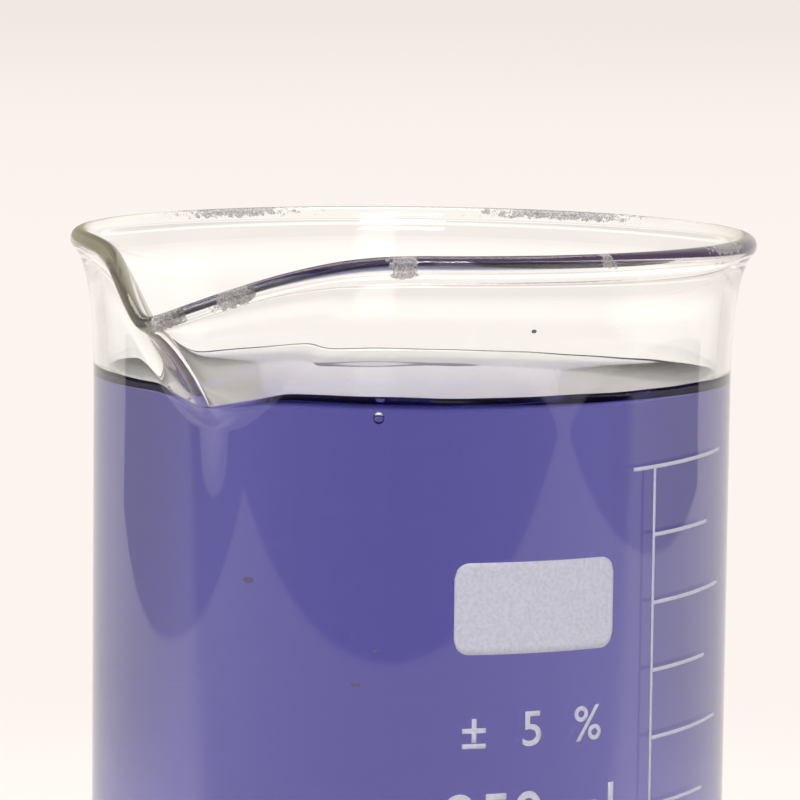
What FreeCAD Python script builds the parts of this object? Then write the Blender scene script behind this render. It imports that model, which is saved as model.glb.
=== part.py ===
"""A low form glass beaker with a folded pouring spout, holding a clear coloured liquid.

The origin is the centre of the flat ring that the beaker stands on. +Z is up, and the spout points along -Y.
The glass is one blown piece: a turned section, with the spout pulled out of its rim. The white scale and the
marking patch are enamel, printed on the outside of the wall.
"""
import FreeCAD, Part
import math
import os
from FreeCAD import Vector

# Glass body, in mm
body_diameter = 70.0
height = 95.0
wall = 1.6
base_thickness = 2.2
heel_radius = 8.0
foot_width = 3.0
foot_recess = 0.8

# Rim: a fire-polished bead on a flare. The flare and the fold of the spout both start where the plain wall ends
rim_bead = 1.8
flare = 2.5
flare_length = 18.1
flare_turn = 5.0

# Spout: how far its tip stands out from the rim and hangs below it, and how wide its fold and dip are, in degrees
spout_reach = 8.9
spout_drop = 6.5
fold_half_width = 26.0
dip_half_width = 38.0
plain_margin = 8.0
fold_rounding = 1.2
fold_sharpness = 1.62
dip_sharpness = 2.3
fold_growth = 1.15

# Liquid
liquid_level = 78.0

# Enamel scale, in ml: a mark at each step down from the top one, and every other mark is long
enamel = 0.1
scale_angle = 83.5
top_volume = 250
lowest_volume = 50
volume_step = 25
top_mark_height = 72.45
mark_pitch = 7.24
mark_width = 0.4
scale_line_width = 0.36
long_mark = 15.1
short_mark = 11.2
top_mark_overhang = 3.1

# Enamel patch for a pencil note
patch_angle = 58.9
patch_height = 58.4
patch_width = 18.2
patch_tall = 9.6
patch_corner = 1.6

# Worked out from the sizes above
outer_radius = body_diameter / 2
inner_radius = outer_radius - wall
bead_radius = rim_bead / 2
bead_height = height - bead_radius
bead_centre_radius = outer_radius - wall / 2 + flare
flare_start = bead_height - flare_length
flare_lean = math.atan2(flare, flare_turn)
foot_outer = outer_radius - heel_radius
foot_inner = foot_outer - foot_width
sector = dip_half_width + plain_margin
mark_count = 1 + round((top_volume - lowest_volume) / volume_step)

Z = Vector(0, 0, 1)
ORIGIN = Vector(0, 0, 0)
SPOUT_DIRECTION = -90.0
BEAD_ARCS = 3
TURN_KNOTS = 12
TURN_CROWDING = 1.6
CLIMB_SPANS = 3


def at(radius, level):
    """A point of the section, drawn in the XZ plane."""
    return Vector(radius, 0, level)


def line(start, end):
    return Part.LineSegment(start, end).toShape()


def quarter(centre_radius, centre_level, radius):
    """The round of the heel, from its lowest point out to the wall."""
    slant = radius * math.sqrt(0.5)
    return Part.Arc(
        at(centre_radius, centre_level - radius),
        at(centre_radius + slant, centre_level - slant),
        at(centre_radius + radius, centre_level),
    ).toShape()


def flare_curve(start_radius, side):
    """The flare's section, from the wall up to the bead, on its outer side (+1) or its inner side (-1)."""
    along = Vector(math.sin(flare_lean), 0, math.cos(flare_lean))
    start = at(start_radius, flare_start)
    end = bead_point(math.pi / 2 * (1 - side))
    curve = Part.BezierCurve()
    curve.setPoles([start, start + Z * (flare_length / 2), end - along * flare_turn, end])
    return curve.toShape()


def bead_point(turn):
    """A point of the rim's half round: 0 is its outer side, and pi its inner side."""
    angle = turn - flare_lean
    return at(bead_centre_radius + bead_radius * math.cos(angle), bead_height + bead_radius * math.sin(angle))


def bead_curves():
    """The half round of the rim, as equal arcs over the top."""
    step = math.pi / BEAD_ARCS
    arcs = range(BEAD_ARCS)
    return [Part.Arc(*[bead_point((k + part) * step) for part in (0, 0.5, 1)]).toShape() for k in arcs]


def lower_section():
    """The section below the spout: the base and heel outside and inside, and the wall's two sides."""
    inner_heel = heel_radius - wall
    floor_edge = inner_radius - inner_heel
    outside = [
        line(at(0, foot_recess), at(foot_inner, 0)),
        line(at(foot_inner, 0), at(foot_outer, 0)),
        quarter(foot_outer, heel_radius, heel_radius),
        line(at(outer_radius, heel_radius), at(outer_radius, flare_start)),
    ]
    inside = [
        line(at(0, base_thickness), at(floor_edge, base_thickness)),
        quarter(floor_edge, base_thickness + inner_heel, inner_heel),
        line(at(inner_radius, base_thickness + inner_heel), at(inner_radius, flare_start)),
    ]
    return outside + inside


def upper_section():
    """The section that the spout is pulled from: the flare's two sides and the bead."""
    return [flare_curve(outer_radius, 1), *bead_curves(), flare_curve(inner_radius, -1)]


def swept(edges, start, sweep):
    """The edges turned about the axis, from the start angle and through the sweep."""
    faces = []
    for edge in edges:
        turned = edge.copy()
        turned.rotate(ORIGIN, Z, start)
        faces.append(turned.revolve(ORIGIN, Z, sweep))
    return faces


def pulled_point(point):
    """Where a point of the turned wall goes when the spout is pulled out and down."""
    rise = (min(point.z, bead_height) - flare_start) / flare_length
    if rise <= 0:
        return point
    growth = rise ** fold_growth
    turn = math.degrees(math.atan2(point.x, -point.y))
    off_fold = math.hypot(turn, fold_rounding) - fold_rounding
    fold_share = max(0.0, 1 - off_fold / (fold_half_width * math.sqrt(growth)))
    dip_share = max(0.0, 1 - off_fold / dip_half_width)
    out = spout_reach * growth * fold_share ** fold_sharpness
    down = spout_drop * growth * dip_share ** dip_sharpness
    radius = math.hypot(point.x, point.y)
    stretch = (radius + out) / radius
    return Vector(point.x * stretch, point.y * stretch, point.z - down)


def pulled(face):
    """A face of the spout's sector as a spline surface, with its poles crowded at the fold and moved as pulled."""
    surface = face.toNurbs().Faces[0].Surface
    surface.increaseDegree(max(3, surface.UDegree), max(3, surface.VDegree))
    u_start, u_end, v_start, v_end = surface.bounds()
    steps = [k / TURN_KNOTS for k in range(1 - TURN_KNOTS, TURN_KNOTS)]
    shares = [math.copysign(abs(step) ** TURN_CROWDING, step) for step in steps]
    turns = [(u_start + u_end) / 2 + share * (u_end - u_start) / 2 for share in shares]
    climbs = [v_start + (v_end - v_start) * k / CLIMB_SPANS for k in range(1, CLIMB_SPANS)]
    surface.insertUKnots(turns, [1] * len(turns), 1e-9)
    surface.insertVKnots(climbs, [1] * len(climbs), 1e-9)
    for i, row in enumerate(surface.getPoles(), start=1):
        for j, pole in enumerate(row, start=1):
            surface.setPole(i, j, pulled_point(pole))
    return surface.toShape()


def beaker():
    """The glass: the plain part of the section turned all round, and the spout's sector pulled to shape."""
    rest_start = SPOUT_DIRECTION + sector
    rest_sweep = 360 - 2 * sector
    sector_start = SPOUT_DIRECTION - sector
    section = lower_section() + upper_section()
    faces = swept(section, rest_start, rest_sweep)
    faces += swept(lower_section(), sector_start, 2 * sector)
    faces += [pulled(face) for face in swept(upper_section(), sector_start, 2 * sector)]
    skin = Part.makeCompound([f for face in faces for f in face.Faces])
    skin.sewShape()
    glass = Part.makeSolid(skin.Shells[0])
    if glass.Volume < 0:
        glass.reverse()
    return glass


def liquid(glass):
    """What fills the beaker up to its level: a plain cylinder, cut by the glass and kept where it lies inside."""
    reach = outer_radius + spout_reach + flare
    block = Part.makeCylinder(reach, liquid_level + 1, Vector(0, 0, -1))
    middle = Vector(0, 0, liquid_level / 2)
    return next(solid for solid in block.cut(glass).Solids if solid.isInside(middle, 1e-6, False))


def enamel_band(start, sweep, low, high):
    """A thin printed band on the wall, from the start angle and through the sweep, in degrees from the spout."""
    box = Part.makePolygon([
        at(outer_radius, low),
        at(outer_radius + enamel, low),
        at(outer_radius + enamel, high),
        at(outer_radius, high),
        at(outer_radius, low),
    ])
    face = Part.Face(box)
    face.rotate(ORIGIN, Z, SPOUT_DIRECTION + start)
    return face.revolve(ORIGIN, Z, sweep)


def graduation_scale():
    """The upright line and its level marks, fused into one print."""
    degrees = math.degrees(1 / outer_radius)
    line_sweep = scale_line_width * degrees
    start = scale_angle - line_sweep / 2
    lowest = top_mark_height - (mark_count - 1) * mark_pitch
    bands = [enamel_band(start, line_sweep, lowest, top_mark_height)]
    for k in range(mark_count):
        level = top_mark_height - k * mark_pitch
        length = short_mark if k % 2 else long_mark
        overhang = top_mark_overhang if k == 0 else 0
        mark_start = start - overhang * degrees
        sweep = (length + overhang) * degrees
        bands.append(enamel_band(mark_start, sweep, level - mark_width / 2, level + mark_width / 2))
    return bands[0].multiFuse(bands[1:]).removeSplitter().Solids[0]


def marking_patch():
    """A patch with rounded corners, wrapped on the wall."""
    depth = outer_radius + 1
    blank = Part.makeBox(patch_width, depth, patch_tall, Vector(-patch_width / 2, -depth, -patch_tall / 2))
    corners = [edge for edge in blank.Edges if abs(edge.tangentAt(edge.FirstParameter).y) > 0.5]
    window = blank.makeFillet(patch_corner, corners)
    window.translate(Z * patch_height)
    window.rotate(ORIGIN, Z, patch_angle)
    half_turn = enamel_band(patch_angle - 90, 180, patch_height - patch_tall, patch_height + patch_tall)
    return half_turn.common(window).Solids[0]


def write(name, solid):
    solid.exportStep(f"parts/{name}.step")
    print(name, "valid", solid.isValid(), "volume", round(solid.Volume, 1), "faces", len(solid.Faces))


def main():
    os.makedirs("parts", exist_ok=True)
    glass = beaker()
    write("beaker", glass)
    write("liquid", liquid(glass))
    write("graduation_scale", graduation_scale())
    write("marking_patch", marking_patch())


main()
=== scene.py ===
"""The looks of the glass beaker: clear glass with a folded spout, violet liquid and fired white enamel.

Sizes are in millimetres until a mesh is made. An angle round the beaker is measured from the spout, which
points along -Y, towards +X.
"""

import math

import bmesh
import bpy
import numpy as np
from mathutils import Matrix, Vector


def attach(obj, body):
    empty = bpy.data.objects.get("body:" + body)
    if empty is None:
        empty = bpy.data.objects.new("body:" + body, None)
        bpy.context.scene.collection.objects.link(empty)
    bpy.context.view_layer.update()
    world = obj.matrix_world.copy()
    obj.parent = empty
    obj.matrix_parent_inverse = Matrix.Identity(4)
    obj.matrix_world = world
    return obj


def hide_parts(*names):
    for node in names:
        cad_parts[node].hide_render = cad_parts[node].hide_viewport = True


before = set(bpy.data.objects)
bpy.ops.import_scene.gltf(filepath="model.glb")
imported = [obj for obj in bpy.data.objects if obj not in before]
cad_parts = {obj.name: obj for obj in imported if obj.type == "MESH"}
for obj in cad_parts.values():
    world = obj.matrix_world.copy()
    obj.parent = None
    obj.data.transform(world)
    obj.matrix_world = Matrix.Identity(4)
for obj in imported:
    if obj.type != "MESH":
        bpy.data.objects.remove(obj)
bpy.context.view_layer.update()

MM = 0.001
BODY = "root"

# Camera, fitted to the photograph's wall, rim and liquid line
CAMERA_TURN = math.radians(36.4)
CAMERA_DISTANCE = 493.84
CAMERA_HEIGHT = 131.71
CAMERA_PITCH = math.radians(6.4206)
CAMERA_YAW = math.radians(-0.1495)
CAMERA_ROLL = math.radians(0.668)
CAMERA_LENS = 202.91
CAMERA_SENSOR = 36
CAMERA_CLIP = (0.02, 50)

# Glass body
OUTER_RADIUS = 35.0
WALL = 1.6
INNER_RADIUS = OUTER_RADIUS - WALL
HEIGHT = 95.0
HEEL = 8.0
INNER_HEEL = HEEL - WALL
FOOT_OUTER = OUTER_RADIUS - HEEL
FOOT_WIDTH = 3.0
FOOT_INNER = FOOT_OUTER - FOOT_WIDTH
FOOT_RECESS = 0.8
BASE = 2.2
FLOOR_EDGE = INNER_RADIUS - INNER_HEEL
FLOOR_DOME = 0.5

# Rim: a thick bead on a flare that leans outwards
RIM_RADIUS = 37.6
BEAD = 1.15
BEAD_HEIGHT = HEIGHT - BEAD
BEAD_CENTRE = RIM_RADIUS - BEAD
FLARE_START = 76.0
FLARE_LENGTH = BEAD_HEIGHT - FLARE_START
FLARE_TURN = 3.0
LEAN = math.radians(45)
LEAN_DEGREES = math.degrees(LEAN)

# Spout: how far its tip stands out from the rim and hangs below it, and half the width of its fold and its
# dip in degrees
SPOUT_REACH = 8.9
SPOUT_DROP = 6.5
FOLD_HALF_WIDTH = 26.0
DIP_HALF_WIDTH = 38.0
FOLD_ROUNDING = 1.2
FOLD_SHARPNESS = 1.62
FOLD_SOFTNESS = 0.14
DIP_SHARPNESS = 2.3
FOLD_GROWTH = 1.15
LEAST_GROWTH = 1e-4
LEAST_RADIUS = 1e-9
SECTOR = 46.0
CROWDING = 1.6

# Wear on the bead: the angle of each worn stretch, half its length in degrees, and how low it reaches on the
# bead, from 1 for its top to -1 for its foot
WORN = [(2.3, 1.6, -1), (10.3, 2.2, -1), (35.0, 2.5, -1), (68.9, 1.3, -0.3), (100.0, 6.5, 0.1),
        (187.5, 16.5, 0.1), (252.0, 12.5, 0.2)]
WEAR_MARGIN = 0.2
WEAR_FADES = (5.0, 0.75, 1.5)

# Liquid: its level, and how it climbs the glass. Its edge is uneven in waves: how many go round, how high
# each is beside the others, and where it starts
LEVEL = 78.0
CAPILLARY_LENGTH = 2.7
FRONT_CLIMB = math.radians(50)
BACK_CLIMB = math.radians(28)
FRONT_END = math.radians(75)
BACK_END = math.radians(135)
EDGE_WOBBLE = math.radians(2.5)
EDGE_WAVES = [(5, 1.0, 0.6), (11, 0.7, 2.0), (23, 0.4, 0.0)]
OVERLAP = 0.1
EDGE_OVERLAP = 0.01
FALL = 0.8
FALL_STEPS = 400
FALL_END = 1e-4
SURFACE_REACH = 16.0
SURFACE_RINGS = 64
NOTCH_FADE = 1.5
LOWEST_CONTACT = 60
CONTACT_ROUNDS = 12
WALL_STEP = 0.2
LEAST_SLOPE = 0.01

# An air bubble under the liquid's edge: its angle, distance from the axis and height, and its radius
BUBBLE_PLACE = (30.6, 32.65, 77.95)
BUBBLE_RADIUS = 0.62

# Enamel: how far the print's two sides lie from the axis, and the scale, slanted as it was printed
PRINT_LOW = OUTER_RADIUS + 0.004
PRINT_HIGH = OUTER_RADIUS + 0.035
SCALE_ANGLE = 83.5
TOP_MARK = 72.45
MARK_PITCH = 7.24
MARK_COUNT = 9
MARK_WIDTH = 0.4
SCALE_LINE = 0.36
LONG_MARK = 15.1
SHORT_MARK = 11.2
OVERHANG = 3.1
SCALE_TILT = math.radians(1.6)
SCALE_SAG = 0.33
PRINT_CUT = 1.0

# Enamel patch for a pencil note
PATCH_PLACE = (58.9, 58.4)
PATCH_WIDTH = 18.2
PATCH_TALL = 9.6
PATCH_CORNER = 1.6
PATCH_COLUMNS = 60
PATCH_ROWS = 12

# Lettering: the name of each piece, its words, size and spacing, and its angle and height on the wall
WORDS = [("capacity_text", "250 ml", 7.15, 1.0, 42.9, 34.0),
         ("tolerance_text", "± 5 %", 5.2, 1.4, 45.2, 43.8)]
WORDS_TILT = math.radians(0.8)
WORDS_CUT = 0.6
STROKE_GROWTH = 0.04
SAME_POINT = 1e-4

# Dirt: the angle, height and radius of each speck on the outside of the wall, and its width over its height
SPECKS = [(57.2, 87.1, 0.2, 1.4), (7.8, 60.6, 0.3, 2.2), (27.4, 50.4, 0.2, 2.6), (30.7, 54.0, 0.16, 1.5)]
SPECK_DEPTH = 0.04


# Sections and skins
def bezier(points, steps):
    """Points of a cubic curve, as (radius, height) pairs."""
    t = np.linspace(0, 1, steps + 1)[:, None]
    a, b, c, d = (np.array(p, float) for p in points)
    return (1 - t) ** 3 * a + 3 * (1 - t) ** 2 * t * b + 3 * (1 - t) * t ** 2 * c + t ** 3 * d


def arc(centre, radius, first, last, steps):
    """Points of a circular arc between two angles in degrees, from the horizontal."""
    turn = np.radians(np.linspace(first, last, steps + 1))
    return np.array(centre) + radius * np.column_stack([np.cos(turn), np.sin(turn)])


def run(start, end, steps):
    """Points of a straight run."""
    return np.linspace(start, end, steps + 1)


def dome(low, high, edge, steps):
    """Points of a shallow dome, from the axis to its edge."""
    radius = np.linspace(0, edge, steps + 1)
    return np.column_stack([radius, low + (high - low) * (1 + np.cos(np.pi * radius / edge)) / 2])


def rim_frame(along, across):
    """A point of the section, placed from the bead's centre along and across the flare's lean."""
    lean = np.array([[math.sin(LEAN), math.cos(LEAN)], [math.cos(LEAN), -math.sin(LEAN)]])
    return np.array([BEAD_CENTRE, BEAD_HEIGHT]) + along * lean[0] + across * lean[1]


def flare(start_radius, side, steps):
    """Points of the flare, from the wall up to the bead, on its outer (+1) or inner (-1) side."""
    start = np.array([start_radius, FLARE_START])
    end = rim_frame(0, side * BEAD)
    lower = rim_frame(-FLARE_TURN, side * BEAD)
    return bezier([start, start + (0, FLARE_LENGTH / 3), lower, end], steps)


def joined(parts):
    """The parts of a section in one line, each point once."""
    line = parts[0]
    for part in parts[1:]:
        line = np.vstack([line, part[1:]])
    return line


def rings_at(angles, radius, height):
    """Rings of points about the axis, one for each row of radius and height."""
    turn = np.radians(angles)[None, :]
    return np.stack([radius * np.sin(turn), -radius * np.cos(turn), height + 0 * turn], axis=-1)


def turned(section, angles):
    """The section's points at each angle: an array of section points by angles."""
    return rings_at(angles, section[:, 0][:, None], section[:, 1][:, None])


def pulled(points):
    """Where points of the turned wall go when the spout is pulled out and down."""
    x, y, z = points[..., 0], points[..., 1], points[..., 2]
    rise = np.clip((np.minimum(z, BEAD_HEIGHT) - FLARE_START) / FLARE_LENGTH, 0, 1)
    growth = rise ** FOLD_GROWTH
    turn = np.degrees(np.arctan2(x, -y))
    off_fold = np.hypot(turn, FOLD_ROUNDING) - FOLD_ROUNDING
    inside = 1 - off_fold / (FOLD_HALF_WIDTH * np.sqrt(np.maximum(growth, LEAST_GROWTH)))
    fold = ((inside + np.hypot(inside, FOLD_SOFTNESS)) / 2) ** FOLD_SHARPNESS
    dip = np.clip(1 - off_fold / DIP_HALF_WIDTH, 0, 1) ** DIP_SHARPNESS
    radius = np.maximum(np.hypot(x, y), LEAST_RADIUS)
    stretch = (radius + SPOUT_REACH * growth * fold) / radius
    return np.stack([x * stretch, y * stretch, z - SPOUT_DROP * growth * dip], axis=-1)


def around(fine, coarse):
    """Angles all round, crowded at the fold."""
    half = SECTOR * np.linspace(0, 1, fine + 1) ** CROWDING
    rest = np.linspace(SECTOR, 360 - SECTOR, coarse + 1)[1:-1]
    return np.concatenate([-half[:0:-1], half, rest])


def closed_rings(rings):
    """Points and faces of a closed skin from rings of points, the first and last drawn to one point each."""
    count = rings.shape[1]
    points = [rings[0].mean(axis=0)] + list(rings[1:-1].reshape(-1, 3)) + [rings[-1].mean(axis=0)]
    faces = []
    last = len(points) - 1
    rows = len(rings) - 2
    for k in range(count):
        n = (k + 1) % count
        faces.append((0, 1 + n, 1 + k))
        for row in range(rows - 1):
            low, high = 1 + row * count, 1 + (row + 1) * count
            faces.append((low + k, low + n, high + n, high + k))
        top = 1 + (rows - 1) * count
        faces.append((top + k, top + n, last))
    return points, faces


def hollow_ball(radius, steps, count, offset):
    """Points of a ball about the origin, and its inward faces, which count points from the offset."""
    half_circle = arc((0, 0), radius, -90, 90, steps)
    points, faces = closed_rings(turned(half_circle, np.linspace(0, 360, count + 1)[:-1]))
    return points, [tuple(offset + v for v in reversed(face)) for face in faces]


def mesh_object(name, points, faces):
    """A smooth mesh in metres from points in millimetres, riding on the body."""
    mesh = bpy.data.meshes.new(name)
    mesh.from_pydata((np.asarray(points) * MM).tolist(), [], faces)
    mesh.update()
    mesh.shade_smooth()
    piece = bpy.data.objects.new(name, mesh)
    bpy.context.scene.collection.objects.link(piece)
    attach(piece, BODY)
    return piece


# Glass
def glass_section():
    """The whole section, from the axis under the foot, up the outside, over the bead and down the inside."""
    return joined([
        dome(0, FOOT_RECESS, FOOT_INNER, steps=10),
        run((FOOT_INNER, 0), (FOOT_OUTER, 0), steps=3),
        arc((FOOT_OUTER, HEEL), HEEL, -90, 0, steps=14),
        run((OUTER_RADIUS, HEEL), (OUTER_RADIUS, FLARE_START), steps=8),
        flare(OUTER_RADIUS, 1, steps=30),
        arc((BEAD_CENTRE, BEAD_HEIGHT), BEAD, -LEAN_DEGREES, 180 - LEAN_DEGREES, steps=30),
        flare(INNER_RADIUS, -1, steps=30)[::-1],
        run((INNER_RADIUS, FLARE_START), (INNER_RADIUS, BASE + INNER_HEEL), steps=8),
        arc((FLOOR_EDGE, BASE + INNER_HEEL), INNER_HEEL, 0, -90, steps=14),
        dome(BASE, BASE + FLOOR_DOME, FLOOR_EDGE, steps=8)[::-1],
    ])


def fade(inside, sharpness):
    """0.5 at an edge, where the first value is 0, rising to 1 inside it and falling to 0 outside it."""
    return np.clip(0.5 + sharpness * inside, 0, 1)


def wear(section, angles):
    """How worn the glass is at each point and angle: 1 well inside a worn stretch, 0.5 at its edge."""
    off_bead, at_ends, at_foot = WEAR_FADES
    off_centre = section - (BEAD_CENTRE, BEAD_HEIGHT)
    on_bead = fade(BEAD + WEAR_MARGIN - np.hypot(off_centre[:, 0], off_centre[:, 1]), off_bead)
    worn = np.zeros((len(section), len(angles)))
    for middle, half, lowest in WORN:
        off = np.abs(np.remainder(angles - middle + 180, 360) - 180)
        along = fade(1 - off / half, at_ends)
        above = fade(off_centre[:, 1] / BEAD - lowest, at_foot)
        worn = np.maximum(worn, np.outer(on_bead * above, along))
    return worn


def build_glass():
    section, angles = glass_section(), around(fine=84, coarse=200)
    piece = mesh_object("beaker_glass", *closed_rings(pulled(turned(section, angles))))
    worn = wear(section, angles)
    values = np.concatenate([[0], worn[1:-1].ravel(), [0]])
    piece.data.attributes.new("rim_wear", "FLOAT", "POINT").data.foreach_set("value", values)
    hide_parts("beaker")
    return piece


# Liquid
def inner_wall(angles, heights):
    """The inner wall's radius at each angle and height, on the pulled glass."""
    section = joined([
        run((INNER_RADIUS, LOWEST_CONTACT), (INNER_RADIUS, FLARE_START), steps=2),
        flare(INNER_RADIUS, -1, steps=60),
    ])
    wall = pulled(turned(section, angles))
    radius, height = np.hypot(wall[..., 0], wall[..., 1]), wall[..., 2]
    columns = [np.interp(heights[:, k], height[:, k], radius[:, k]) for k in range(len(angles))]
    return np.stack(columns, axis=1)


def climb(slope):
    """How far a surface at this slope is from the wall's plane, and how high it stands above its level."""
    away = -CAPILLARY_LENGTH * (np.log(np.tan(np.abs(slope) / 4)) + 2 * np.cos(slope / 2))
    return away, 2 * CAPILLARY_LENGTH * np.sin(slope / 2)


def wobble(turn):
    """The unevenness of the liquid's edge, from -1 to 1."""
    waves = sum(size * np.sin(count * turn + start) for count, size, start in EDGE_WAVES)
    return waves / sum(size for _, size, _ in EDGE_WAVES)


def wetting(turn):
    """How steeply the liquid climbs an upright wall at each angle: more at the camera's side than behind."""
    off_front = np.abs(np.remainder(turn - CAMERA_TURN + np.pi, 2 * np.pi) - np.pi)
    back_share = np.clip((off_front - FRONT_END) / (BACK_END - FRONT_END), 0, 1)
    back_share = back_share ** 2 * (3 - 2 * back_share)
    return FRONT_CLIMB + (BACK_CLIMB - FRONT_CLIMB) * back_share + EDGE_WOBBLE * wobble(turn)


def contact_line(angles):
    """The height at which the liquid meets the glass, and the slope of its surface there, at each angle."""
    steepest = wetting(np.radians(angles))[None, :]
    contact = np.full((1, len(angles)), LEVEL)
    for _ in range(CONTACT_ROUNDS):
        spread = inner_wall(angles, contact + WALL_STEP) - inner_wall(angles, contact - WALL_STEP)
        slope = steepest - np.arctan(spread / (2 * WALL_STEP))
        slope = np.where(np.abs(slope) < LEAST_SLOPE, LEAST_SLOPE, slope)
        contact = (contact + LEVEL + climb(slope)[1]) / 2
    return contact, slope


def fallen(slope, away):
    """The share of its climb that the surface keeps this far from the wall, for each slope at the wall."""
    start = climb(slope)[0]
    shares = np.geomspace(1, FALL_END, FALL_STEPS)[:, None]
    distance, high = climb(slope * shares)
    distance = distance - start
    kept = high / high[0]
    return np.array([[np.interp(away, distance[:, k], kept[:, k]) for k in range(slope.shape[1])]])


def build_liquid():
    """The liquid with its edge drawn up the wall, a little larger than the hollow, so that no gap shows."""
    angles = around(fine=64, coarse=170)
    contact, slope = contact_line(angles)
    side_top = FLARE_START - 1
    below = joined([
        dome(BASE - OVERLAP, BASE + FLOOR_DOME - OVERLAP, FLOOR_EDGE, steps=6),
        arc((FLOOR_EDGE, BASE + INNER_HEEL), INNER_HEEL + OVERLAP, -90, 0, steps=12),
        run((INNER_RADIUS + OVERLAP, BASE + INNER_HEEL), (INNER_RADIUS + OVERLAP, side_top), steps=5),
    ])
    rings = [turned(below, angles)]
    for share in np.linspace(0.1, 1, 10):
        height = side_top + (contact - side_top) * share
        radius = inner_wall(angles, height) + OVERLAP + (EDGE_OVERLAP - OVERLAP) * share
        rings.append(rings_at(angles, radius, height))
    edge = inner_wall(angles, contact)
    for away in FALL * (np.geomspace(1, 1 + SURFACE_REACH / FALL, SURFACE_RINGS) - 1):
        notch = (edge - INNER_RADIUS) * np.exp(-away / NOTCH_FADE)
        height = LEVEL + (contact - LEVEL) * fallen(slope, away)
        rings.append(rings_at(angles, INNER_RADIUS - away + notch, height))
    middle = run((INNER_RADIUS - SURFACE_REACH, LEVEL), (0, LEVEL), steps=11)[1:]
    rings.append(turned(middle, angles))
    points, faces = closed_rings(np.concatenate(rings))
    bubble_points, bubble_faces = hollow_ball(BUBBLE_RADIUS, steps=14, count=24, offset=len(points))
    angle, radius, height = BUBBLE_PLACE
    centre = rings_at([angle], radius, height)[0, 0]
    points += [p + centre for p in bubble_points]
    piece = mesh_object("liquid_fill", points, faces + bubble_faces)
    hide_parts("liquid")
    return piece


# Enamel
def wrapped(piece_name, mesh, angle, height, tilt=0.0):
    """A flat mesh, in millimetres along the wall and up it, wrapped on the glass at the angle and height."""
    flat = np.array([v.co for v in mesh.vertices])
    flat[:, 1] += flat[:, 0] * math.tan(tilt)
    turn = math.radians(angle) + flat[:, 0] / OUTER_RADIUS
    radius = np.where(flat[:, 2] > 0, PRINT_HIGH, PRINT_LOW)
    points = np.column_stack([radius * np.sin(turn), -radius * np.cos(turn), height + flat[:, 1]])
    faces = [tuple(p.vertices) for p in mesh.polygons]
    piece = mesh_object(piece_name, points, faces)
    return piece


def slab(points, faces):
    """A flat mesh with a front and a back from plane faces: x, y in millimetres."""
    bm = bmesh.new()
    front = [bm.verts.new((x, y, 1)) for x, y in points]
    for face in faces:
        bm.faces.new([front[i] for i in face])
    back = bmesh.ops.extrude_face_region(bm, geom=bm.faces[:])
    for v in back["geom"]:
        if isinstance(v, bmesh.types.BMVert):
            v.co.z = -1
    bmesh.ops.recalc_face_normals(bm, faces=bm.faces[:])
    mesh = bpy.data.meshes.new("slab")
    bm.to_mesh(mesh)
    bm.free()
    return mesh


def grid_slab(strips):
    """Slabs for rectangles (left, right, low, high), cut along the wall."""
    points, faces = [], []
    for left, right, low, high in strips:
        steps = max(1, math.ceil((right - left) / PRINT_CUT))
        base = len(points)
        for k in range(steps + 1):
            x = left + (right - left) * k / steps
            points += [(x, low), (x, high)]
        faces += [(base + 2 * k, base + 2 * k + 2, base + 2 * k + 3, base + 2 * k + 1) for k in range(steps)]
    return slab(points, faces)


def build_scale():
    lowest = TOP_MARK - (MARK_COUNT - 1) * MARK_PITCH
    half = SCALE_LINE / 2
    strips = [(-half, half, lowest - MARK_WIDTH / 2, TOP_MARK - MARK_WIDTH / 2)]
    for k in range(MARK_COUNT):
        level = TOP_MARK - k * MARK_PITCH
        left = half if k else -half - OVERHANG
        length = SHORT_MARK if k % 2 else LONG_MARK
        strips.append((left, length - half, level - MARK_WIDTH / 2, level + MARK_WIDTH / 2))
    piece = wrapped("enamel_scale", grid_slab(strips), SCALE_ANGLE, -SCALE_SAG, SCALE_TILT)
    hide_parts("graduation_scale")
    return piece


def patch_slab(width, tall, corner):
    """A flat patch with round corners, in upright columns."""
    points, faces = [], []
    for x in np.linspace(-width / 2, width / 2, PATCH_COLUMNS + 1):
        inset = max(0.0, abs(x) - (width / 2 - corner))
        drop = corner - math.sqrt(max(0.0, corner ** 2 - inset ** 2))
        half = tall / 2 - drop
        points += [(x, y * half) for y in np.linspace(-1, 1, PATCH_ROWS + 1)]
    step = PATCH_ROWS + 1
    for column in range(PATCH_COLUMNS):
        for row in range(PATCH_ROWS):
            a = column * step + row
            faces.append((a, a + step, a + step + 1, a + 1))
    return slab(points, faces)


def build_patch():
    piece = wrapped("enamel_patch", patch_slab(PATCH_WIDTH, PATCH_TALL, PATCH_CORNER), *PATCH_PLACE)
    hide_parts("marking_patch")
    return piece


def text_slab(words, size, spacing):
    """Flat lettering as a slab cut along the wall, in millimetres, from its left end and foot at 0, 0."""
    curve = bpy.data.curves.new("words", "FONT")
    curve.body = words
    curve.size = size
    curve.space_character = spacing
    curve.offset = STROKE_GROWTH
    curve.extrude = 1.0
    curve.resolution_u = 6
    holder = bpy.data.objects.new("words", curve)
    bpy.context.scene.collection.objects.link(holder)
    bpy.context.view_layer.update()
    mesh = bpy.data.meshes.new_from_object(holder.evaluated_get(bpy.context.evaluated_depsgraph_get()))
    bpy.data.objects.remove(holder)
    bm = bmesh.new()
    bm.from_mesh(mesh)
    bmesh.ops.remove_doubles(bm, verts=bm.verts[:], dist=SAME_POINT)
    width = max(v.co.x for v in bm.verts)
    for k in range(1, math.ceil(width / WORDS_CUT)):
        whole = bm.verts[:] + bm.edges[:] + bm.faces[:]
        bmesh.ops.bisect_plane(bm, geom=whole, plane_co=(k * WORDS_CUT, 0, 0), plane_no=(1, 0, 0))
    bm.to_mesh(mesh)
    bm.free()
    return mesh


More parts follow.
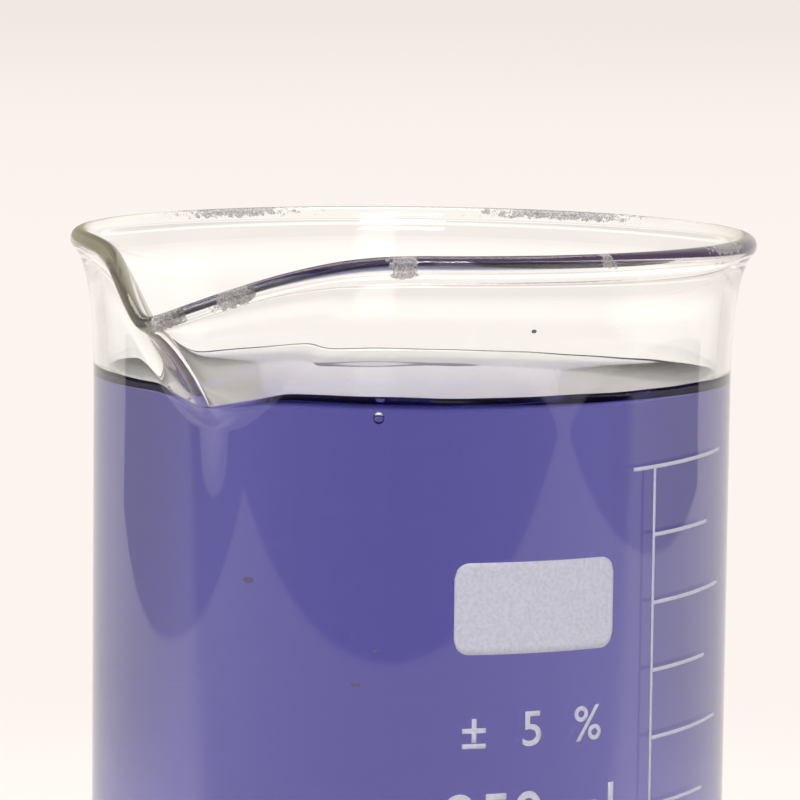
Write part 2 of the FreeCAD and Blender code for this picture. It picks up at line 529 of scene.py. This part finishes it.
def build_words():
    return [
        wrapped(name, text_slab(words, size, spacing), angle, height, WORDS_TILT)
        for name, words, size, spacing, angle, height in WORDS
    ]


# Dirt
def build_specks():
    """Flat specks on the wall. Wrapping mirrors each ball, so that its skin faces outwards."""
    points, faces = [], []
    for angle, height, radius, width in SPECKS:
        ball, ball_faces = hollow_ball(1, steps=8, count=16, offset=len(points))
        for x, y, z in ball:
            turn = math.radians(angle) + x * radius * width / OUTER_RADIUS
            out = OUTER_RADIUS + SPECK_DEPTH * y
            points.append((out * math.sin(turn), -out * math.cos(turn), height + z * radius))
        faces += ball_faces
    piece = mesh_object("specks", points, faces)
    return piece


# Shaders
class Shader:
    """A node tree that is built up by its outputs: every method but the first two gives a socket."""

    def __init__(self, tree):
        self.nodes, self.links = tree.nodes, tree.links
        self.nodes.clear()

    def node(self, kind, inputs=None, **settings):
        """A new node, each of whose inputs takes a plain value or another node's output."""
        made = self.nodes.new("ShaderNode" + kind)
        for key, value in settings.items():
            setattr(made, key, value)
        for key, value in (inputs or {}).items():
            if isinstance(value, bpy.types.NodeSocket):
                self.links.new(value, made.inputs[key])
            else:
                made.inputs[key].default_value = value
        return made

    def math(self, operation, first, second=0.0):
        return self.node("Math", {0: first, 1: second}, operation=operation).outputs[0]

    def add(self, first, second):
        return self.math("ADD", first, second)

    def multiply(self, first, second):
        return self.math("MULTIPLY", first, second)

    def any_of(self, first, *others):
        """1 where any of the values is 1."""
        for other in others:
            first = self.math("MAXIMUM", first, other)
        return first

    def smooth_range(self, value, low, high):
        """0 below the low end and 1 above the high end."""
        ends = {"Value": value, "From Min": low, "From Max": high}
        return self.node("MapRange", ends, interpolation_type="SMOOTHSTEP").outputs["Result"]

    def mixed(self, place, x_share, y_share):
        """x and y of a separated vector, in the given shares."""
        return self.add(self.multiply(place["X"], x_share), self.multiply(place["Y"], y_share))

    def noise(self, place, scale, detail=2.0, roughness=0.5):
        """Noise by place, at so many lumps to the metre."""
        inputs = {"Vector": place, "Scale": scale, "Detail": detail, "Roughness": roughness}
        return self.node("TexNoise", inputs).outputs["Fac"]

    def blend(self, factor, first, second):
        """A colour between the first, at 0, and the second, at 1."""
        return self.node("MixRGB", {"Fac": factor, "Color1": first, "Color2": second}).outputs["Color"]

    def colour_ramp(self, value, stops):
        """A colour by value, through two or more (position, colour) pairs in rising order."""
        ramp = self.node("ValToRGB", {"Fac": value})
        elements = ramp.color_ramp.elements
        for k, (position, colour) in enumerate(stops):
            element = elements[k] if k < 2 else elements.new(position)
            element.position, element.color = position, colour
        return ramp.outputs["Color"]

    def emission(self, colour, strength):
        return self.node("Emission", {"Color": colour, "Strength": strength}).outputs[0]

    def background(self, colour, strength=1.0):
        return self.node("Background", {"Color": colour, "Strength": strength}).outputs[0]

    def choose(self, factor, first, second):
        """The first shader where the factor is 0, and the second where it is 1."""
        return self.node("MixShader", {"Fac": factor, 1: first, 2: second}).outputs[0]


def new_material(name):
    material = bpy.data.materials.new(name)
    material.use_nodes = True
    return material, Shader(material.node_tree)


# Materials: colours, with densities per metre, and where each change starts and ends
GLASS_IOR = 1.47
GLASS_TINT = (0.8, 0.86, 0.8, 1)
GLASS_DENSITY = 12.0
CLEAR = (1, 1, 1, 1)
CHIPS_WEIGHT = 2.4
FROST_RANGE = (1.72, 1.9)
SPARKLE_RANGE = (0.4, 0.62)
FROST_DARK = (0.27, 0.25, 0.27, 1)
FROST_PALE = (0.64, 0.61, 0.6, 1)
FROST_COVER = 0.55
FROST_ROUGHNESS = 0.35

# The bead guides light from its surroundings: after so many reflections the glass glows with painted light
# in its place, a faint olive at the left of the spout and violet from there to the right
PAINTED_GLOW_DEPTH = (2.4, 2.6)
PAINTED_FLANK_GLOW = (0.095, 0.086, 0.062, 1)
PAINTED_FRONT_GLOW = (0.032, 0.02, 0.038, 1)
PAINTED_GLOW_SPLIT = (-0.0285, -0.0255)

LIQUID_IOR = 1.333
LIQUID_TINT = (0.287, 0.267, 0.7, 1)
LIQUID_DENSITY = 45.0

# The white enamel is tinted a darker grey-violet: painted shade and painted violet light from the liquid
# behind the print
SHADED_ENAMEL_TINTS = [(0.3, (0.5, 0.51, 0.62, 1)), (0.65, (0.59, 0.6, 0.72, 1))]
ENAMEL_ROUGHNESS = 0.38
ENAMEL_RELIEF = 0.00003
ENAMEL_RELIEF_STRENGTH = 0.25

DUST_DARK = (0.05, 0.045, 0.09, 1)
DUST_PALE = (0.2, 0.18, 0.26, 1)
DUST_ROUGHNESS = 0.8


def glass_material():
    """Clear glass, frosted where the rim is worn, and glowing with painted light deep in its reflections."""
    material, shader = new_material("clear_borosilicate")
    place = shader.node("TexCoord").outputs["Object"]
    worn = shader.node("Attribute", attribute_name="rim_wear").outputs["Fac"]
    chips = shader.noise(place, scale=1400, detail=6, roughness=0.65)
    frosted = shader.smooth_range(shader.add(worn, shader.multiply(chips, CHIPS_WEIGHT)), *FROST_RANGE)
    sparkle = shader.smooth_range(shader.noise(place, scale=5200, detail=3), *SPARKLE_RANGE)
    frost = shader.blend(sparkle, FROST_DARK, FROST_PALE)

    spread = shader.node("SeparateXYZ", {"Vector": place}).outputs
    aside = shader.mixed(spread, math.cos(CAMERA_TURN), math.sin(CAMERA_TURN))
    depth = shader.node("LightPath").outputs["Glossy Depth"]

    glass = shader.node("BsdfPrincipled", {
        "Base Color": shader.blend(frosted, CLEAR, frost),
        "Roughness": shader.multiply(frosted, FROST_ROUGHNESS),
        "IOR": GLASS_IOR,
        "Transmission Weight": shader.math("SUBTRACT", 1.0, shader.multiply(frosted, FROST_COVER)),
        # The emission is painted light: a tint that the glass glows with once a ray has been reflected
        # inside it
        "Emission Color": shader.blend(shader.smooth_range(aside, *PAINTED_GLOW_SPLIT), PAINTED_FLANK_GLOW, PAINTED_FRONT_GLOW),
        "Emission Strength": shader.smooth_range(depth, *PAINTED_GLOW_DEPTH),
    })
    absorb = shader.node("VolumeAbsorption", {"Color": GLASS_TINT, "Density": GLASS_DENSITY})
    shader.node("OutputMaterial", {"Surface": glass.outputs[0], "Volume": absorb.outputs[0]})
    return material


def liquid_material():
    material, shader = new_material("violet_solution")
    fluid = shader.node("BsdfPrincipled", {
        "Base Color": CLEAR,
        "Roughness": 0.0,
        "IOR": LIQUID_IOR,
        "Transmission Weight": 1.0,
    })
    absorb = shader.node("VolumeAbsorption", {"Color": LIQUID_TINT, "Density": LIQUID_DENSITY})
    shader.node("OutputMaterial", {"Surface": fluid.outputs[0], "Volume": absorb.outputs[0]})
    return material


def enamel_material():
    material, shader = new_material("fired_enamel")
    grain = shader.noise(shader.node("TexCoord").outputs["Object"], scale=2600)
    relief = {"Height": grain, "Strength": ENAMEL_RELIEF_STRENGTH, "Distance": ENAMEL_RELIEF}
    enamel = shader.node("BsdfPrincipled", {
        "Base Color": shader.colour_ramp(grain, SHADED_ENAMEL_TINTS),
        "Roughness": ENAMEL_ROUGHNESS,
        "Normal": shader.node("Bump", relief).outputs["Normal"],
    })
    shader.node("OutputMaterial", {"Surface": enamel.outputs[0]})
    return material


def speck_material():
    material, shader = new_material("dust")
    mottle = shader.noise(shader.node("TexCoord").outputs["Object"], scale=4000)
    dust = shader.node("BsdfPrincipled", {
        "Base Color": shader.blend(mottle, DUST_DARK, DUST_PALE),
        "Roughness": DUST_ROUGHNESS,
    })
    shader.node("OutputMaterial", {"Surface": dust.outputs[0]})
    return material


# Stage: a pale tabletop, lit near the beaker and plain from there on, where it turns into the backdrop.
# Ranges on it are in metres from the beaker
FLOOR_SIZE = 16
FLOOR_DROP = 0.0002
TABLE_COLOUR = (0.86, 0.82, 0.78, 1)
PLAIN_RANGE = (0.09, 0.26)
CREAM = (0.975, 0.914, 0.864, 1)
FAR_CREAM = (0.868, 0.812, 0.765, 1)
FAR_RANGE = (0.9, 4.5)

# What shows through the glass: how much brighter the table is, how much more so behind the clear part, and
# how much less so at the sides, which the liquid bends in
SEEN_THROUGH = 0.09
SEEN_FAR = 0.1
SEEN_FAR_RANGE = (1.12, 1.5)
SIDE_SHADE = 0.3
SIDE_RANGE = (0.22, 0.47)

# What is seen through the glass above the table, by the height of the direction: the backdrop, a bright band
# of wall that the liquid's surface mirrors, and the ceiling
BRIGHT_WALL = (1.22, 1.14, 1.08, 1)
SKY = [(0.08, CREAM), (0.1, BRIGHT_WALL), (0.122, BRIGHT_WALL), (0.15, (0.9, 0.85, 0.8, 1)),
       (0.45, (0.75, 0.71, 0.64, 1))]

# The table's mirror image in the glass has three dark bays, one in front and one on each side:
# (direction from the camera's side in degrees, nearest edge and spread in metres)
BAYS = [(-7.1, 0.339, 20), (-92.2, 0.341, 0.316), (94, 0.451, 0.703)]
BAY_EDGE = (0.97, 1.06)
BAY_MOUTH = (0.0, 0.1)
BAYS_END = 0.625
BAYS_END_RANGE = (-0.01, 0.01)
BAY_COLOUR = (0.9, 0.92, 1, 1)
BAY_STRENGTH = 0.02

# What the glass mirrors: a dark room behind the camera with a tall window right of it, and walls at the left
# and right of the backdrop
ROOM_BEHIND = (0.038, 0.038, 0.042, 1)
ROOM_RANGE = (0.35, 0.85)
WINDOW_LIGHT = (1.5, 1.47, 1.43, 1)
WINDOW_SIDES = (-0.14, -0.42)
WINDOW_EDGE = (-0.03, 0.03)
WINDOW_FOOT = (0.08, 0.14)
ROOM_LEFT = (0.5, 0.47, 0.33, 1)
ROOM_RIGHT = (0.88, 0.84, 0.78, 1)
ROOM_SIDES = (-0.1, 0.2)

# Light that the glass has turned back towards the camera's side finds only the dark
REFLECTED_DEPTH = (0.4, 0.6)
BACK_ON_TABLE = (0.03, 0.08)
BACK_IN_ROOM = (0.0, 0.2)

FILL_COLOUR = (1, 0.99, 0.98, 1)
FILL_STRENGTH = 0.6

# Lamps: name, width and height in metres, watts, direction from the camera's side and height above the table
# in degrees, and distance in metres
LAMPS = [("softbox", (0.9, 0.7), 6.0, 188, 66, 1.15), ("window", (0.38, 0.16), 5.0, 2, 60, 1.2),
         ("small_window", (0.09, 0.16), 1.2, 24, 60, 1.2)]
LAMP_COLOUR = (1.0, 0.98, 0.95)
LAMP_AIM = Vector((0, 0, 0.06))


def mirror_ray(shader, path):
    """1 for a ray that a glossy surface mirrored, 0 for one that passed through it."""
    return shader.multiply(path["Is Glossy Ray"], path["Is Reflection Ray"])


def turned_back(shader, path, ahead, near, far):
    """1 for a ray that was reflected inside the glass and left it towards the camera's side."""
    reflected = shader.smooth_range(path["Glossy Depth"], *REFLECTED_DEPTH)
    left = shader.multiply(reflected, path["Is Transmission Ray"])
    return shader.multiply(left, shader.smooth_range(shader.multiply(ahead, -1.0), near, far))


def bay(shader, place, direction, edge, spread):
    """1 inside a bay, whose edge is a hyperbola: (along / edge)^2 - (across / spread)^2 > 1."""
    turn = math.radians(direction)
    along = shader.mixed(place, math.sin(turn) / edge, -math.cos(turn) / edge)
    across = shader.mixed(place, math.cos(turn) / spread, math.sin(turn) / spread)
    difference = shader.math("SUBTRACT", shader.multiply(along, along), shader.multiply(across, across))
    inside = shader.smooth_range(difference, *BAY_EDGE)
    return shader.multiply(inside, shader.smooth_range(along, *BAY_MOUTH))


def table_seen_through(shader, path, place, distance):
    """The plain table's strength: above 1 for light that has come through the glass."""
    sideways = shader.math("ABSOLUTE", shader.math("DIVIDE", place["X"], distance))
    shade = shader.multiply(shader.smooth_range(sideways, *SIDE_RANGE), -SIDE_SHADE)
    farther = shader.multiply(shader.smooth_range(distance, *SEEN_FAR_RANGE), SEEN_FAR)
    lift = shader.add(shader.add(shade, farther), SEEN_THROUGH)
    return shader.add(shader.multiply(path["Is Transmission Ray"], lift), 1.0)


def floor_material():
    material, shader = new_material("pale_tabletop")
    path = shader.node("LightPath").outputs
    spot = shader.node("TexCoord").outputs["Object"]
    place = shader.node("SeparateXYZ", {"Vector": spot}).outputs
    distance = shader.node("VectorMath", {0: spot}, operation="LENGTH").outputs["Value"]

    table = shader.node("BsdfDiffuse", {"Color": TABLE_COLOUR}).outputs[0]
    colour = shader.blend(shader.smooth_range(distance, *FAR_RANGE), CREAM, FAR_CREAM)
    plain = shader.emission(colour, table_seen_through(shader, path, place, distance))
    seen = shader.any_of(path["Is Camera Ray"], path["Is Transmission Ray"], path["Is Glossy Ray"])
    is_plain = shader.multiply(shader.smooth_range(distance, *PLAIN_RANGE), seen)
    pale = shader.choose(is_plain, table, plain)

    bays = shader.any_of(*[bay(shader, place, *sizes) for sizes in BAYS])
    aside = shader.math("ABSOLUTE", place["X"])
    before = shader.math("SUBTRACT", shader.multiply(aside, BAYS_END), place["Y"])
    bays = shader.multiply(bays, shader.smooth_range(before, *BAYS_END_RANGE))
    mirrored = shader.multiply(bays, mirror_ray(shader, path))
    back = turned_back(shader, path, place["Y"], *BACK_ON_TABLE)
    dark = shader.emission(BAY_COLOUR, BAY_STRENGTH)
    surface = shader.choose(shader.any_of(mirrored, back), pale, dark)
    shader.node("OutputMaterial", {"Surface": surface})
    return material


def build_floor():
    bpy.ops.mesh.primitive_plane_add(size=FLOOR_SIZE)
    floor = bpy.context.object
    floor.name = "tabletop"
    floor.rotation_euler = (0, 0, CAMERA_TURN)
    floor.location = (0, 0, -FLOOR_DROP)
    floor.data.materials.append(floor_material())
    return floor


def window(shader, place):
    """1 inside a tall window in the dark room, between two directions right of the camera."""
    sine, cosine = math.sin(CAMERA_TURN), math.cos(CAMERA_TURN)
    inside = shader.smooth_range(place["Z"], *WINDOW_FOOT)
    for side, share in zip((1, -1), WINDOW_SIDES):
        past = shader.mixed(place, side * (cosine + share * sine), side * (sine - share * cosine))
        inside = shader.multiply(inside, shader.smooth_range(past, *WINDOW_EDGE))
    return inside


def build_world():
    world = bpy.data.worlds.new("studio")
    bpy.context.scene.world = world
    world.use_nodes = True
    shader = Shader(world.node_tree)
    path = shader.node("LightPath").outputs
    direction = shader.node("TexCoord").outputs["Generated"]
    place = shader.node("SeparateXYZ", {"Vector": direction}).outputs
    ahead = shader.mixed(place, -math.sin(CAMERA_TURN), math.cos(CAMERA_TURN))
    aside = shader.mixed(place, math.cos(CAMERA_TURN), math.sin(CAMERA_TURN))

    walls = shader.blend(shader.smooth_range(aside, *ROOM_SIDES), ROOM_LEFT, ROOM_RIGHT)
    behind = shader.blend(window(shader, place), ROOM_BEHIND, WINDOW_LIGHT)
    room = shader.background(shader.blend(shader.smooth_range(ahead, *ROOM_RANGE), behind, walls))

    fill = shader.background(FILL_COLOUR, FILL_STRENGTH)
    sky = shader.background(shader.colour_ramp(place["Z"], SKY))
    unmirrored = shader.choose(path["Is Transmission Ray"], fill, sky)
    back = turned_back(shader, path, ahead, *BACK_IN_ROOM)
    indirect = shader.choose(shader.any_of(mirror_ray(shader, path), back), unmirrored, room)
    surface = shader.choose(path["Is Camera Ray"], indirect, shader.background(FAR_CREAM))
    shader.node("OutputWorld", {"Surface": surface})


def area_light(name, size, energy, azimuth, elevation, distance):
    """A lamp that faces the beaker, placed by its direction from it, in degrees from the camera's side."""
    lamp = bpy.data.lights.new(name, "AREA")
    lamp.shape = "RECTANGLE"
    lamp.size, lamp.size_y = size
    lamp.energy = energy
    lamp.color = LAMP_COLOUR
    light = bpy.data.objects.new(name, lamp)
    turn, rise = CAMERA_TURN + math.radians(azimuth), math.radians(elevation)
    direction = Vector((math.sin(turn) * math.cos(rise), -math.cos(turn) * math.cos(rise), math.sin(rise)))
    light.location = direction * distance + LAMP_AIM
    light.rotation_euler = (-direction).to_track_quat("-Z", "Y").to_euler()
    bpy.context.scene.collection.objects.link(light)


def build_camera():
    camera = bpy.data.cameras.new("camera")
    camera.lens = CAMERA_LENS
    camera.sensor_width = CAMERA_SENSOR
    camera.clip_start, camera.clip_end = CAMERA_CLIP
    eye = bpy.data.objects.new("camera", camera)
    forward = Vector((
        math.sin(CAMERA_YAW) * math.cos(CAMERA_PITCH),
        math.cos(CAMERA_YAW) * math.cos(CAMERA_PITCH),
        -math.sin(CAMERA_PITCH),
    ))
    right = forward.cross(Vector((0, 0, 1))).normalized()
    up = right.cross(forward)
    tilt_right = right * math.cos(CAMERA_ROLL) + up * math.sin(CAMERA_ROLL)
    tilt_up = up * math.cos(CAMERA_ROLL) - right * math.sin(CAMERA_ROLL)
    view = Matrix((tilt_right, tilt_up, -forward)).transposed().to_4x4()
    view.translation = Vector((0, -CAMERA_DISTANCE, CAMERA_HEIGHT)) * MM
    eye.matrix_world = Matrix.Rotation(CAMERA_TURN, 4, "Z") @ view
    bpy.context.scene.collection.objects.link(eye)
    bpy.context.scene.camera = eye


build_glass().data.materials.append(glass_material())
build_liquid().data.materials.append(liquid_material())
enamel = enamel_material()
for print_piece in [build_scale(), build_patch(), *build_words()]:
    print_piece.data.materials.append(enamel)
build_specks().data.materials.append(speck_material())
build_floor()
build_world()
for lamp_sizes in LAMPS:
    area_light(*lamp_sizes)
build_camera()
bpy.context.scene.view_settings.view_transform = "Standard"
